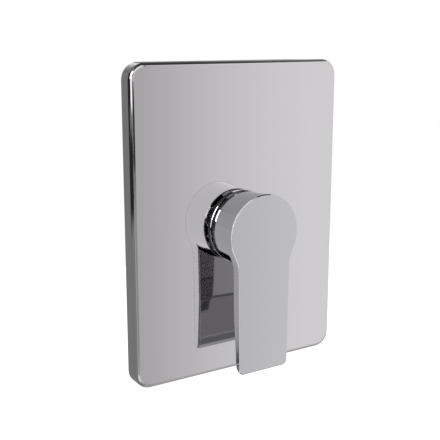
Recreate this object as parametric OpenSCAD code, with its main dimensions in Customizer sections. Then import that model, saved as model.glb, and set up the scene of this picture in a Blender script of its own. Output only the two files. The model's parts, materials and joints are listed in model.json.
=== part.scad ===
// Concealed single-lever shower mixer: cover plate, lever handle, ceramic-disc cartridge
// and the valve body that is built into the wall.
// Millimetres. X to the right, Z up, and the user stands on the -Y side.
// The origin is where the valve axis crosses the finished wall, which is the plane y = 0.

/* [Cover plate] */
// Width of the cover plate
plate_w = 145; // [120:1:180]
// Height of the cover plate
plate_h = 190; // [150:1:240]
// Height of the plate's centre above the valve axis
plate_rise = 4; // [0:0.5:12]
// Depth of the plate from the wall to its front face
plate_d = 10.5; // [9.5:0.5:16]
// Sheet thickness of the plate
plate_wall = 1.5; // [1:0.1:2]
// Corner radius of the plate, seen from the front
plate_corner_r = 10; // [6:0.5:20]
// Radius of the plate's rolled front edge
plate_edge_r = 2.5; // [2.1:0.1:4]
// Width of the foam strip that seals the plate to the wall
gasket_w = 6; // [4:0.5:10]
// Gap between the foam strip and the plate's side wall
gasket_inset = 1.5; // [1.5:0.1:3]

/* [Lever handle] */
// Radius of the lever's round head
head_r = 23.5; // [23.5:0.1:26]
// Length of the head, front face to rear rim
head_len = 20; // [19:0.5:26]
// Gap between the plate's face and the head's rear rim
head_gap = 6; // [6:0.1:8]
// Wall of the hollow head
head_wall = 1.8; // [1.4:0.1:2.2]
// Thickness of the head's front face
head_front_t = 3; // [2.5:0.1:4]
// Chamfer on the outside of the head's rear rim
head_chamfer = 0.4; // [0.2:0.1:0.6]
// Distance from the valve axis to the tip of the arm
arm_len = 84; // [60:1:110]
// Width that the arm's sides have at the valve axis
arm_root_w = 37; // [32:0.5:40]
// Width of the arm at its tip
arm_tip_w = 34.4; // [26:0.2:37]
// Thickness of the arm where it leaves the head
arm_root_t = 7; // [5:0.1:7.4]
// Distance from the valve axis down to where the arm starts to thin
arm_thick_len = 45; // [32:1:50]
// Thickness of the arm at its tip
arm_tip_t = 4.5; // [3:0.1:5]
// Radius of the hollow blend between head and arm
neck_r = 20; // [5:1:40]
// Corner radius of the arm's tip
tip_r = 3; // [1:0.5:6]
// Radius that rounds the back of the arm's tip
tip_back_r = 3.5; // [1:0.1:4]
// Radius of the boss that holds the stem inside the head
boss_r = 9; // [8.8:0.1:10]
// Distance of the boss's open end from the head's rear rim
boss_setback = 3; // [2.5:0.1:4]

/* [Trim sleeve] */
// Radius of the sleeve's flange, which clamps the plate
flange_r = 22.4; // [22.2:0.1:22.5]
// Thickness of the flange
flange_t = 1.5; // [1:0.1:1.6]
// Outside radius of the sleeve's tube
sleeve_r = 20.6; // [20.4:0.1:20.8]
// Height of the sleeve's nose above the plate's face
sleeve_rise = 8; // [6:0.1:8.2]
// Height above the plate's face at which the sleeve starts to narrow
sleeve_straight = 2.5; // [2:0.1:3]
// Outside radius of the sleeve's nose
nose_r = 16.5; // [15.6:0.1:17]
// Wall of the sleeve's nose
nose_wall = 1.5; // [1:0.1:1.8]
// Diameter of the sleeve seal's cord
sleeve_seal_d = 1.2; // [1:0.1:1.3]

/* [Cartridge] */
// Depth of the cartridge's seat behind the finished wall
seat_y = 24; // [23:0.5:30]
// Outside radius of the cartridge
cartridge_r = 17.3; // [17.1:0.1:17.4]
// Wall of the cartridge's housing
housing_wall = 1.8; // [1.6:0.1:1.9]
// Thickness of the housing's roof
roof_t = 3; // [2.5:0.1:4]
// Radius of the housing's front collar
collar_r = 15; // [14.8:0.1:15.1]
// Length of the housing's front collar
collar_len = 8; // [7:0.1:9]
// Thickness of the cartridge's base
base_t = 5; // [4.5:0.1:6]
// Thickness of the base's outer flange
base_flange_t = 2; // [1.5:0.1:3]
// Thickness of the fixed ceramic disc
fixed_disc_t = 3; // [2.5:0.1:4]
// Thickness of the moving ceramic disc
moving_disc_t = 3.5; // [3:0.1:5]
// Radius of the moving ceramic disc and its carrier
moving_disc_r = 13.2; // [12.4:0.1:13.3]
// Thickness of the disc carrier
carrier_t = 6; // [5.5:0.1:7]
// Radius of the rotor's neck
rotor_r = 11.5; // [11.3:0.1:11.7]
// Thickness of the rotor's flange
rotor_flange_t = 3; // [2.5:0.1:4]
// Radius of the lever's pivot pin
pin_r = 1.5; // [1.2:0.1:1.8]
// Distance from the pivot pin to the centre of the stem's ball
stem_arm = 15; // [14:0.1:16]
// Radius of the stem's ball
ball_r = 2.5; // [2.3:0.1:2.6]
// Side of the stem's square front end
stem_w = 8; // [7:0.1:8.4]
// Wall of the bush between the stem and the lever
bush_wall = 1.4; // [1:0.1:1.7]
// Thickness of the temperature stop ring
stop_ring_t = 2; // [1.6:0.1:2.6]

/* [Valve body] */
// Distance from the valve axis to the face of each inlet
inlet_reach = 45; // [42:1:49]
// Distance from the valve axis to the face of the outlet
outlet_reach = 48; // [44:1:80]
// Depth of the inlets' and outlet's axes behind the cartridge's seat
port_depth = 7; // [6.5:0.1:9]
// Radius of the G 1/2 thread's bore
thread_r = 9.32; // [9.2:0.01:9.5]
// Depth of the G 1/2 thread
thread_len = 15; // [12:0.5:16]
// Radius of each pipe boss
pipe_boss_r = 13; // [12:0.1:13.5]
// Width across the spanner flats at the end of each pipe boss
hex_flats = 28; // [27.5:0.1:30]
// Radius of the cartridge chamber's outside
chamber_r = 23.5; // [22.5:0.1:26]
// Radius of the neck in front of the chamber
neck_out_r = 21; // [20.4:0.1:21.5]
// Distance between the fixing holes, side to side
lug_pitch_x = 62; // [58:1:70]
// Distance between the fixing holes, top to bottom
lug_pitch_z = 48; // [44:1:60]
// Radius of each fixing hole
lug_hole_r = 2.75; // [2:0.05:3.2]
// Radius of each fixing lug
lug_r = 6.5; // [6:0.1:8]
// Thickness of the fixing lugs
lug_t = 4; // [3:0.5:6]

/* [Movement] */
// Turn of the lever to each side, from mixed to cold or to hot
swing_deg = 50; // [30:1:60]
// Lift of the lever from closed to fully open
lift_deg = 13; // [8:0.5:13]

/* [Hidden] */
$fn = 96;

// Clearances
slack = 0.1;        // screwed, clipped and keyed pieces of one body
seat_gap = 0.3;     // pieces that pass each other without a fit
shaft_gap = 0.08;   // the rotor in its housing
wide_gap = 0.5;     // pieces that pass each other while the lever is lifted
chamber_gap = 0.2;  // the cartridge in its chamber
pin_gap = 0.05;     // the stem on its pin
film = 0.05;        // between the two ceramic discs
cut = 1;            // how far a cut runs past the face it opens

// Stations along the valve axis, from the seat towards the user
base_front = seat_y - base_t;
fixed_front = base_front - fixed_disc_t;
moving_back = fixed_front - film;
moving_front = moving_back - moving_disc_t;
carrier_front = moving_front - carrier_t;
ball_depth = 2;
ball_y = carrier_front + ball_depth;
pivot_y = ball_y - stem_arm;
rotor_back = carrier_front - seat_gap;
rotor_shoulder = rotor_back - rotor_flange_t;
ceiling_y = rotor_shoulder - slack;
shoulder_y = ceiling_y - roof_t;
collar_front = shoulder_y - collar_len;
stop_front = collar_front - stop_ring_t;
rotor_stand = 1;
rotor_front = stop_front - rotor_stand;
slip_ring_t = 0.8;
nut_back = shoulder_y - slip_ring_t;
nut_thread_len = 4.25;
neck_front = nut_back - nut_thread_len;

plate_front = -plate_d;
plate_back = plate_front + plate_wall;
sleeve_front = plate_front - sleeve_rise;
sleeve_taper = plate_front - sleeve_straight;
sleeve_back = neck_front - seat_gap;
nut_front = sleeve_taper + wide_gap;

rim_y = plate_front - head_gap;
head_front = rim_y - head_len;
head_inside = head_front + head_front_t;
boss_back = rim_y - boss_setback;

// Radii round the valve axis
housing_in = cartridge_r - housing_wall;
chamber_in = cartridge_r + chamber_gap;
rotor_bore = rotor_r + shaft_gap;
nut_in = collar_r + seat_gap;
thread_step = 0.6;
nut_thread_r = chamber_in + thread_step;
nut_collar_r = nut_thread_r + wide_gap;
sleeve_in = nut_collar_r + slack;
hole_play = 0.4;
plate_hole_r = sleeve_r + hole_play;
head_in = head_r - head_wall;

// The plate's drawn collar and the seal groove that faces it
hole_collar_wall = 1.2;
hole_collar_back = sleeve_back - slack;
seal_groove_r = plate_hole_r - sleeve_seal_d - film;
seal_groove_w = sleeve_seal_d + 2 * slack;
seal_y = (plate_front + flange_t / 2 + hole_collar_back) / 2;

// Water ways through seat, base and fixed disc
inlet_x = 5.4;
inlet_z = -6.2;
outlet_z = 3;
way_r = 2.8;
way_places = [[-inlet_x, inlet_z], [inlet_x, inlet_z], [0, outlet_z]];
port_y = seat_y + port_depth;
body_back = port_y + hex_flats / 2;
cross_z = -5.5;       // the drilling from each inlet to its way
cross_r = 3.7;
cross_end = 4.2;
riser_r = 3.8;        // the drilling from the outlet's way up to the outlet
riser_end = -0.8;
foot_h = 0.5;         // how far the lugs' feet stand behind the chamber
hex_len = 8;
hex_r = hex_flats / 2 / cos(30);

// Pins under the cartridge that set its turn in the body
locator_x = 11;
locator_z = 8;
locator_r = 1.9;
locator_h = 2.4;

// Seals of the cartridge's base
ring_in = 3.3;
ring_out = 4.5;
ring_h = 1.2;

// The discs: the moving one lies above the axis when closed and below it when open
travel = stem_arm * lift_deg * PI / 180;
closed_z = travel / 2;
fixed_disc_r = housing_in - wide_gap - slack;
port_in_r = 5.8;
port_out_r = 9;
port_from = 15;
port_to = 62;
pocket_w = 10.8;
pocket_low = -6;
pocket_high = 7.6;
pocket_depth = 2;
pocket_corner = 2;
key_w = 3;            // keys that turn the moving disc and hold the fixed one
key_d = 1.2;
key_h = 1.6;
key_root = 0.5;       // how deep a key is rooted in the piece that carries it

// Rotor details
rail_x = 9;
rail_w = 2;
rail_h = 2;
rail_len = 18;
slot_w = 6.4;
inner_stem_w = 6;
stem_bar_w = 4.6;
stem_bar_t = 4;
front_bar_t = 6;
knuckle_wall = 2.1;
knuckle_r = pin_r + knuckle_wall;
bar_low = (rotor_back - pivot_y) * tan(lift_deg) + stem_bar_t / 2 + 2 * wide_gap;
bar_high = (pivot_y - rotor_front) * tan(lift_deg) + front_bar_t / 2 + wide_gap;
slot_high = max(bar_high, knuckle_r + seat_gap);
slot_low = max(bar_low, knuckle_r + seat_gap);
square_setback = 2;
square_back = rotor_front - square_setback;
pin_setback = 0.7;
pin_len = 2 * (rotor_r - pin_setback);
rotor_seal_d = 1.5;
rotor_seal_groove = rotor_bore - film - rotor_seal_d;
rotor_seal_y = (ceiling_y + pivot_y + pin_r) / 2;
lug_out_r = 13.6;
lug_half_deg = 6;
stop_play_deg = 0.5;
peg_r = 0.9;
peg_h = 1.2;
peg_ring_r = (rotor_r + seat_gap + collar_r) / 2;

// Stem, bush and screw inside the head
stem_front = head_inside + seat_gap;
bush_in = stem_w + 2 * slack;
bush_out = bush_in + 2 * bush_wall;
bush_hole_r = 2.8;
grub_r = 2.45;
grub_len = 10;
grub_y = (boss_back + head_front + arm_root_t) / 2;
grub_top = -stem_w / 2 - film;
socket_r = 1.45;
socket_depth = 3;
cover_r = 3.1;
cover_len = 4;
web_w = 9;
web_wall = 1;
web_half_l = cover_r + web_wall;

// 2D: a rectangle with round corners, centred
module rounded_rect(w, h, r) {
    square([w - 2 * r, h], center = true);
    square([w, h - 2 * r], center = true);
    for (sx = [-1, 1], sy = [-1, 1])
        translate([sx * (w / 2 - r), sy * (h / 2 - r)]) circle(r);
}

// 2D: a pan's cross-section, open side at y = 0, front at y = -d with rolled edges
module pan_section(w, d, r) {
    translate([-w / 2, -d + r]) square([w, d - r]);
    translate([-w / 2 + r, -d]) square([w - 2 * r, d]);
    for (s = [-1, 1]) translate([s * (w / 2 - r), -d + r]) circle(r);
}

// A flat slab with round corners and a rolled front edge, from y = 0 to y = -d
module rolled_slab(w, h, d, corner, edge) {
    linear_extrude(h - 2 * corner, center = true) pan_section(w, d, edge);
    rotate([0, 90, 0]) linear_extrude(w - 2 * corner, center = true) pan_section(h, d, edge);
    for (sx = [-1, 1], sz = [-1, 1])
        translate([sx * (w / 2 - corner), 0, sz * (h / 2 - corner)])
            rotate([-90, 0, 0]) rotate_extrude()
                intersection() {
                    pan_section(2 * corner, d, edge);
                    translate([0, -d]) square([corner, d]);
                }
}

// Round bar along the valve axis, from y = a to y = b
module y_bar(r, a, b) {
    translate([0, min(a, b), 0]) rotate([-90, 0, 0]) cylinder(r = r, h = abs(b - a));
}

// Ring along the valve axis
module y_ring(r_out, r_in, a, b) {
    difference() {
        y_bar(r_out, a, b);
        y_bar(r_in, min(a, b) - cut, max(a, b) + cut);
    }
}

// Solid of revolution round the valve axis, from a 2D profile of (radius, y)
module y_turned() {
    rotate([-90, 0, 0]) rotate_extrude() children();
}

// Round cord ring round the valve axis
module cord_ring(r_mid, cord_d, y) {
    y_turned() translate([r_mid, y]) circle(d = cord_d, $fn = 32);
}

// Extrudes a front view (x, z) from y = a to y = b
module y_slab(a, b) {
    translate([0, max(a, b), 0]) rotate([90, 0, 0]) linear_extrude(abs(b - a)) children();
}

// 2D: a wedge from the axis, between two angles counted clockwise from straight up
module wedge(r, from_deg, to_deg) {
    steps = 8;
    polygon(concat([[0, 0]], [for (i = [0:steps])
        let (a = from_deg + (to_deg - from_deg) * i / steps) [r * sin(a), r * cos(a)]]));
}

// Cover plate: a shallow pressed pan with a drawn collar round the sleeve's hole
module cover_plate() {
    color([0.76, 0.76, 0.78])
    difference() {
        union() {
            difference() {
                translate([0, 0, plate_rise])
                    rolled_slab(plate_w, plate_h, plate_d, plate_corner_r, plate_edge_r);
                translate([0, cut, plate_rise])
                    rolled_slab(plate_w - 2 * plate_wall, plate_h - 2 * plate_wall,
                        plate_d - plate_wall + cut, plate_corner_r - plate_wall,
                        plate_edge_r - plate_wall);
            }
            y_bar(plate_hole_r + hole_collar_wall, plate_front + plate_wall / 2, hole_collar_back);
        }
        y_bar(plate_hole_r, plate_front - cut, cut);
    }
}

// Foam strip round the inside of the plate, pressed against the wall
module plate_gasket() {
    edge = plate_wall + gasket_inset;
    inner_r = 1;
    color([0.22, 0.22, 0.23])
    translate([0, 0, plate_rise]) y_slab(plate_back, 0) difference() {
        rounded_rect(plate_w - 2 * edge, plate_h - 2 * edge, plate_corner_r - edge);
        rounded_rect(plate_w - 2 * (edge + gasket_w), plate_h - 2 * (edge + gasket_w), inner_r);
    }
}

// Sleeve: screws on the cartridge nut and clamps the plate with its flange
module trim_sleeve() {
    bevel = 0.3;
    mouth_r = nose_r - nose_wall;
    color([0.76, 0.76, 0.78])
    y_turned() difference() {
        polygon([
            [sleeve_in, sleeve_back], [sleeve_in, sleeve_taper],
            [mouth_r, sleeve_front + nose_wall / 2], [mouth_r, sleeve_front],
            [nose_r, sleeve_front], [sleeve_r, sleeve_taper],
            [sleeve_r, plate_front - flange_t], [flange_r - bevel, plate_front - flange_t],
            [flange_r, plate_front - flange_t + bevel], [flange_r, plate_front],
            [sleeve_r, plate_front], [sleeve_r, sleeve_back]]);
        translate([seal_groove_r, seal_y - seal_groove_w / 2]) square([sleeve_r, seal_groove_w]);
    }
}

// Seal ring between the sleeve and the plate's drawn collar
module sleeve_seal() {
    color([0.12, 0.12, 0.12])
    cord_ring(plate_hole_r - film / 2 - sleeve_seal_d / 2, sleeve_seal_d, seal_y);
}

// One pipe boss along +Z from the middle of the body, with its spanner flats
module pipe_boss(reach) {
    cylinder(r = pipe_boss_r, h = reach);
    translate([0, 0, reach - hex_len]) cylinder(r = hex_r, h = hex_len, $fn = 6);
}

// Bore of one G 1/2 thread, from the face of a boss along +Z
module pipe_bore(reach) {
    translate([0, 0, reach - thread_len]) cylinder(r = thread_r, h = thread_len + cut);
}

// Cast body in the wall: chamber, two inlets at the sides, outlet on top, four lugs
module valve_body() {
    lug_angle = atan2(lug_pitch_x, lug_pitch_z);
    lug_dist = norm([lug_pitch_x, lug_pitch_z]) / 2;
    color([0.80, 0.66, 0.36])
    difference() {
        union() {
            y_bar(neck_out_r, neck_front, base_front);
            y_bar(chamber_r, rotor_back, body_back - foot_h);
            translate([0, port_y, 0]) {
                for (s = [-1, 1]) rotate([0, s * 90, 0]) pipe_boss(inlet_reach);
                pipe_boss(outlet_reach);
            }
            y_slab(body_back - lug_t, body_back)
                for (a = [lug_angle, -lug_angle, 180 - lug_angle, 180 + lug_angle])
                    rotate(a) {
                        translate([-lug_r, 0]) square([2 * lug_r, lug_dist]);
                        translate([0, lug_dist]) circle(lug_r);
                    }
        }
        y_bar(chamber_in, neck_front - cut, seat_y);
        y_bar(nut_thread_r, neck_front - cut, nut_back);
        for (p = way_places) translate([p[0], 0, p[1]]) y_bar(way_r, seat_y - cut, port_y);
        for (s = [-1, 1]) {
            translate([0, port_y, 0]) rotate([0, s * 90, 0]) pipe_bore(inlet_reach);
            translate([s * cross_end, port_y, cross_z]) rotate([0, s * 90, 0])
                cylinder(r = cross_r, h = inlet_reach - thread_len - cross_end + cut);
            translate([s * locator_x, 0, locator_z])
                y_bar(locator_r + slack, seat_y - cut, seat_y + locator_h + seat_gap);
        }
        translate([0, port_y, 0]) pipe_bore(outlet_reach);
        translate([0, port_y, riser_end]) cylinder(r = riser_r, h = outlet_reach - thread_len + cut);
        for (sx = [-1, 1], sz = [-1, 1])
            translate([sx * lug_pitch_x / 2, 0, sz * lug_pitch_z / 2])
                y_bar(lug_hole_r, body_back - lug_t - cut, body_back + cut);
    }
}

// Ring nut that holds the cartridge and carries the sleeve
module cartridge_nut() {
    notch_w = 4;
    notch_d = 2.5;
    color([0.80, 0.66, 0.36])
    difference() {
        union() {
            y_bar(nut_thread_r - slack, nut_back, neck_front);
            y_bar(nut_collar_r, neck_front, nut_front);
        }
        y_bar(nut_in, nut_front - cut, nut_back + cut);
        for (a = [0:90:270]) rotate([0, a, 0])
            translate([-notch_w / 2, nut_front - cut, 0])
                cube([notch_w, notch_d + cut, nut_collar_r + cut]);
    }
}

// Thin ring that lets the nut turn on the housing while it is tightened
module slip_ring() {
    color([0.92, 0.92, 0.90])
    y_ring(cartridge_r - slack, nut_in + slack, nut_back, shoulder_y);
}

// Housing of the cartridge: a cup with a collar, open towards the base
module cartridge_housing() {
    color([0.93, 0.93, 0.91])
    difference() {
        union() {
            y_bar(cartridge_r, shoulder_y, seat_y - base_flange_t);
            y_bar(collar_r, collar_front, shoulder_y);
            for (a = [150, 210]) rotate([0, a, 0])
                translate([0, 0, peg_ring_r]) y_bar(peg_r, collar_front - peg_h, collar_front);
        }
        y_bar(rotor_bore, collar_front - cut, ceiling_y + cut);
        y_bar(housing_in, ceiling_y, seat_y);
        for (a = [90, -90]) rotate([0, a, 0])
            translate([-key_w / 2 - slack, seat_y - base_flange_t - key_h - slack, housing_in - cut])
                cube([key_w + 2 * slack, key_h + slack + cut, housing_wall + 2 * cut]);
    }
}

// Base of the cartridge: carries the fixed disc and seals on the body's seat
module cartridge_base() {
    flange_front = seat_y - base_flange_t;
    color([0.88, 0.88, 0.86])
    difference() {
        union() {
            y_bar(cartridge_r, flange_front, seat_y);
            y_bar(housing_in - slack, base_front, flange_front);
            for (s = [-1, 1]) {
                translate([s * locator_x, 0, locator_z])
                    y_bar(locator_r, seat_y - base_flange_t, seat_y + locator_h);
                rotate([0, s * 90, 0])
                    translate([-key_w / 2, flange_front - key_h, housing_in - 2 * key_root])
                        cube([key_w, key_h, housing_wall + 2 * key_root - slack]);
                rotate([0, s * 90, 0])
                    translate([-key_w / 2, base_front - key_h, fixed_disc_r - key_d])
                        cube([key_w, key_h + key_root, key_d + key_root]);
            }
        }
        for (p = way_places) translate([p[0], 0, p[1]]) {
            y_bar(way_r, base_front - cut, seat_y + cut);
            y_ring(ring_out, ring_in, base_front - cut, base_front + ring_h);
            y_ring(ring_out, ring_in, seat_y - ring_h, seat_y + cut);
        }
    }
}

// Three square-cut seals, one round each water way
module way_seals(a, b) {
    for (p = way_places) translate([p[0], 0, p[1]])
        y_ring(ring_out - film, ring_in + film, a, b);
}

// Seals between the base and the body's seat
module base_seals() {
    color([0.14, 0.14, 0.15]) way_seals(seat_y - ring_h, seat_y);
}

// Seals between the base and the fixed disc
module disc_seals() {
    color([0.14, 0.14, 0.15]) way_seals(base_front, base_front + ring_h);
}

// Fixed ceramic disc: two curved inlets and a round outlet
module fixed_disc() {
    color([0.96, 0.95, 0.92])
    y_slab(fixed_front, base_front) difference() {
        circle(fixed_disc_r);
        for (s = [-1, 1]) intersection() {
            difference() {
                circle(port_out_r);
                circle(port_in_r);
            }
            wedge(2 * port_out_r, 180 + s * port_from, 180 + s * port_to);
        }
        translate([0, outlet_z]) circle(way_r);
        for (s = [-1, 1]) translate([s * fixed_disc_r, 0])
            square([2 * (key_d + slack), key_w + 2 * slack], center = true);
    }
}

// Ring that limits the turn: its gap is as wide as the lever's swing
module stop_ring() {
    half_gap = swing_deg + lug_half_deg + stop_play_deg;
    color([0.70, 0.16, 0.14])
    y_slab(stop_front, collar_front) difference() {
        circle(collar_r);
        circle(rotor_r + seat_gap);
        intersection() {
            circle(lug_out_r + seat_gap);
            wedge(2 * collar_r, -half_gap, half_gap);
        }
        for (a = [150, 210])
            translate([peg_ring_r * sin(a), peg_ring_r * cos(a)]) circle(peg_r + slack);
    }
}

// Rotor: turns in the housing, carries the pivot pin and turns the disc carrier
module rotor() {
    color([0.86, 0.86, 0.84])
    difference() {
        union() {
            y_bar(housing_in - seat_gap, rotor_shoulder, rotor_back);
            y_bar(rotor_r, rotor_front, rotor_shoulder);
            y_slab(stop_front + slack, collar_front - slack) intersection() {
                circle(lug_out_r);
                wedge(2 * lug_out_r, -lug_half_deg, lug_half_deg);
            }
            for (s = [-1, 1]) translate([s * rail_x - rail_w / 2, rotor_back - slack, -rail_len / 2])
                cube([rail_w, rail_h + slack, rail_len]);
        }
        translate([-slot_w / 2, rotor_front - cut, -slot_low])
            cube([slot_w, rotor_back - rotor_front + 2 * cut, slot_low + slot_high]);
        translate([-rotor_r - 2 * cut, pivot_y, 0]) rotate([0, 90, 0])
            cylinder(r = pin_r + film / 2, h = 2 * rotor_r + 4 * cut);
        difference() {
            y_bar(rotor_r + cut, rotor_seal_y - rotor_seal_d / 2 - slack,
                rotor_seal_y + rotor_seal_d / 2 + slack);
            y_bar(rotor_seal_groove, rotor_seal_y - rotor_seal_d, rotor_seal_y + rotor_seal_d);
        }
    }
}

// Seal ring on the rotor's neck
module rotor_seal() {
    color([0.12, 0.12, 0.12])
    cord_ring(rotor_bore - film - rotor_seal_d / 2, rotor_seal_d - film, rotor_seal_y);
}

// Pin across the rotor on which the lever is lifted
module pivot_pin() {
    color([0.72, 0.73, 0.75])
    translate([-pin_len / 2, pivot_y, 0]) rotate([0, 90, 0]) cylinder(r = pin_r, h = pin_len);
}

// Carrier: slides in the rotor's rails, pushed by the stem's ball
module disc_carrier() {
    socket_w = 2 * ball_r + seat_gap;
    color([0.30, 0.42, 0.62])
    difference() {
        union() {
            translate([0, 0, closed_z]) y_bar(moving_disc_r, carrier_front, moving_front);
            for (s = [-1, 1])
                translate([s * (moving_disc_r - key_d / 2 - slack) - key_d / 2,
                    moving_front - key_root, closed_z - key_w / 2])
                    cube([key_d, key_h + key_root, key_w]);
        }
        translate([-socket_w / 2, carrier_front - cut, -socket_w / 2])
            cube([socket_w, ball_depth + ball_r + seat_gap + cut, socket_w]);
        for (s = [-1, 1])
            translate([s * rail_x - rail_w / 2 - slack, carrier_front - cut, -2 * moving_disc_r])
                cube([rail_w + 2 * slack, rail_h + cut, 4 * moving_disc_r]);
    }
}

// Moving ceramic disc: its blind pocket joins the inlets to the outlet
module moving_disc() {
    pocket_h = pocket_high - pocket_low;
    color([0.97, 0.96, 0.94])
    translate([0, 0, closed_z]) difference() {
        y_bar(moving_disc_r, moving_front, moving_back);
        translate([0, 0, (pocket_high + pocket_low) / 2])
            y_slab(moving_back - pocket_depth, moving_back + cut)
                rounded_rect(pocket_w, pocket_h, pocket_corner);
        for (s = [-1, 1])
            translate([s * moving_disc_r - key_d - 2 * slack, moving_front - cut, -key_w / 2 - slack])
                cube([2 * (key_d + 2 * slack), key_h + slack + cut, key_w + 2 * slack]);
    }
}

// Stem: ball inside, knuckle on the pin, square end in the lever's head
module stem() {
    color([0.74, 0.75, 0.77])
    difference() {
        union() {
            translate([0, ball_y, 0]) sphere(r = ball_r, $fn = 48);
            translate([-stem_bar_w / 2, pivot_y, -stem_bar_t / 2])
                cube([stem_bar_w, ball_y - pivot_y, stem_bar_t]);
            translate([-inner_stem_w / 2, pivot_y, 0]) rotate([0, 90, 0])
                cylinder(r = knuckle_r, h = inner_stem_w);
            translate([-inner_stem_w / 2, square_back - cut, -front_bar_t / 2])
                cube([inner_stem_w, pivot_y - square_back + cut, front_bar_t]);
            translate([-stem_w / 2, stem_front, -stem_w / 2])
                cube([stem_w, square_back - stem_front, stem_w]);
        }
        translate([-inner_stem_w, pivot_y, 0]) rotate([0, 90, 0])
            cylinder(r = pin_r + pin_gap, h = 2 * inner_stem_w);
    }
}

// Square bush that takes up the play between the stem and the lever
module stem_bush() {
    color([0.90, 0.90, 0.88])
    difference() {
        y_slab(boss_back, head_inside) square(bush_out, center = true);
        y_slab(boss_back + cut, head_inside - cut) square(bush_in, center = true);
        translate([0, grub_y, -bush_out]) cylinder(r = bush_hole_r, h = bush_out);
    }
}

// 2D: the lever's front view, a disc that blends into the arm
module lever_outline() {
    // The arm's side leans in by this angle, and lies this far from the axis
    lean = atan((arm_root_w - arm_tip_w) / 2 / arm_len);
    side = arm_root_w / 2 * cos(lean);
    down = sqrt(pow(head_r + neck_r, 2) - pow(side + neck_r, 2));
    for (s = [0, 1]) mirror([s, 0]) {
        out = [cos(lean), -sin(lean)];
        along = [-sin(lean), -cos(lean)];
        centre = (side + neck_r) * out + down * along;
        on_side = side * out + down * along;
        on_head = centre * head_r / (head_r + neck_r);
        difference() {
            polygon([[0, 0], on_head, centre, on_side, [0, on_side[1]]]);
            translate(centre) circle(neck_r);
        }
    }
    circle(head_r);
    tip_half = arm_tip_w / 2;
    polygon([
        [-arm_root_w / 2, 0], [arm_root_w / 2, 0],
        [tip_half + tip_r * tan(lean), -arm_len + tip_r],
        [-tip_half - tip_r * tan(lean), -arm_len + tip_r]]);
    translate([0, -arm_len + tip_r]) rounded_bar(2 * tip_half, tip_r);
}

// 2D: the round-cornered end of the arm, centred on the line of its corner centres
module rounded_bar(w, r) {
    translate([-w / 2 + r, -r]) square([w - 2 * r, 2 * r]);
    for (s = [-1, 1]) translate([s * (w / 2 - r), 0]) circle(r);
}

// Lever: hollow round head with its arm in one casting
module lever_handle() {
    web_back = grub_y + web_half_l;
    web_front = grub_y - web_half_l;
    color([0.78, 0.78, 0.80])
    difference() {
        union() {
            difference() {
                y_turned() polygon([
                    [0, head_front], [head_r, head_front], [head_r, rim_y - head_chamfer],
                    [head_r - head_chamfer, rim_y], [0, rim_y]]);
                y_bar(head_in, head_inside, rim_y + cut);
            }
            intersection() {
                y_slab(head_front, rim_y) lever_outline();
                arm_side_view();
            }
            y_bar(boss_r, head_inside - cut, boss_back);
            intersection() {
                translate([-web_w / 2, web_front, -head_r]) cube([web_w, web_back - web_front, head_r]);
                y_bar(head_in + head_wall / 2, web_front, web_back);
            }
        }
        y_slab(boss_back + cut, head_inside) square(bush_out, center = true);
        translate([0, grub_y, -head_r]) cylinder(r = grub_r + slack, h = head_r);
        translate([0, grub_y, -head_r - cut])
            cylinder(r = cover_r + slack, h = cover_len + wide_gap + cut);
    }
}

// The arm seen from the side: full thickness at the head, thinner towards its rounded tip
module arm_side_view() {
    top = -head_r / 2;
    tip_back = head_front + arm_tip_t;
    round_r = min(tip_back_r, arm_tip_t);
    translate([-plate_w, 0, 0]) rotate([90, 0, 90]) linear_extrude(2 * plate_w) difference() {
        polygon([
            [head_front, top], [head_front + arm_root_t, top],
            [head_front + arm_root_t, -arm_thick_len], [tip_back, -arm_len],
            [head_front, -arm_len]]);
        translate([tip_back - round_r, -arm_len + round_r]) difference() {
            translate([0, -round_r - cut]) square([round_r + cut, round_r + cut]);
            circle(round_r);
        }
    }
}

// Set screw that holds the lever on the stem
module grub_screw() {
    color([0.45, 0.46, 0.48])
    difference() {
        translate([0, grub_y, grub_top - grub_len]) cylinder(r = grub_r, h = grub_len);
        translate([0, grub_y, grub_top - grub_len - cut])
            cylinder(r = socket_r, h = socket_depth + cut, $fn = 6);
    }
}

// Plug that closes the screw's hole under the head
module screw_cover() {
    color([0.25, 0.35, 0.70])
    intersection() {
        translate([0, grub_y, -head_r - cut]) cylinder(r = cover_r, h = cover_len + cut);
        y_bar(head_r, head_front, rim_y);
    }
}

cover_plate();
plate_gasket();
trim_sleeve();
sleeve_seal();
valve_body();
cartridge_nut();
slip_ring();
cartridge_housing();
cartridge_base();
base_seals();
disc_seals();
fixed_disc();
stop_ring();
rotor();
rotor_seal();
pivot_pin();
disc_carrier();
moving_disc();
stem();
stem_bush();
lever_handle();
grub_screw();
screw_cover();
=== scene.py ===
import json
from math import asin, atan, atan2, ceil, cos, hypot, pi, radians, sin, sqrt, tan

import bpy
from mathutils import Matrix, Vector
from mathutils.geometry import tessellate_polygon


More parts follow.
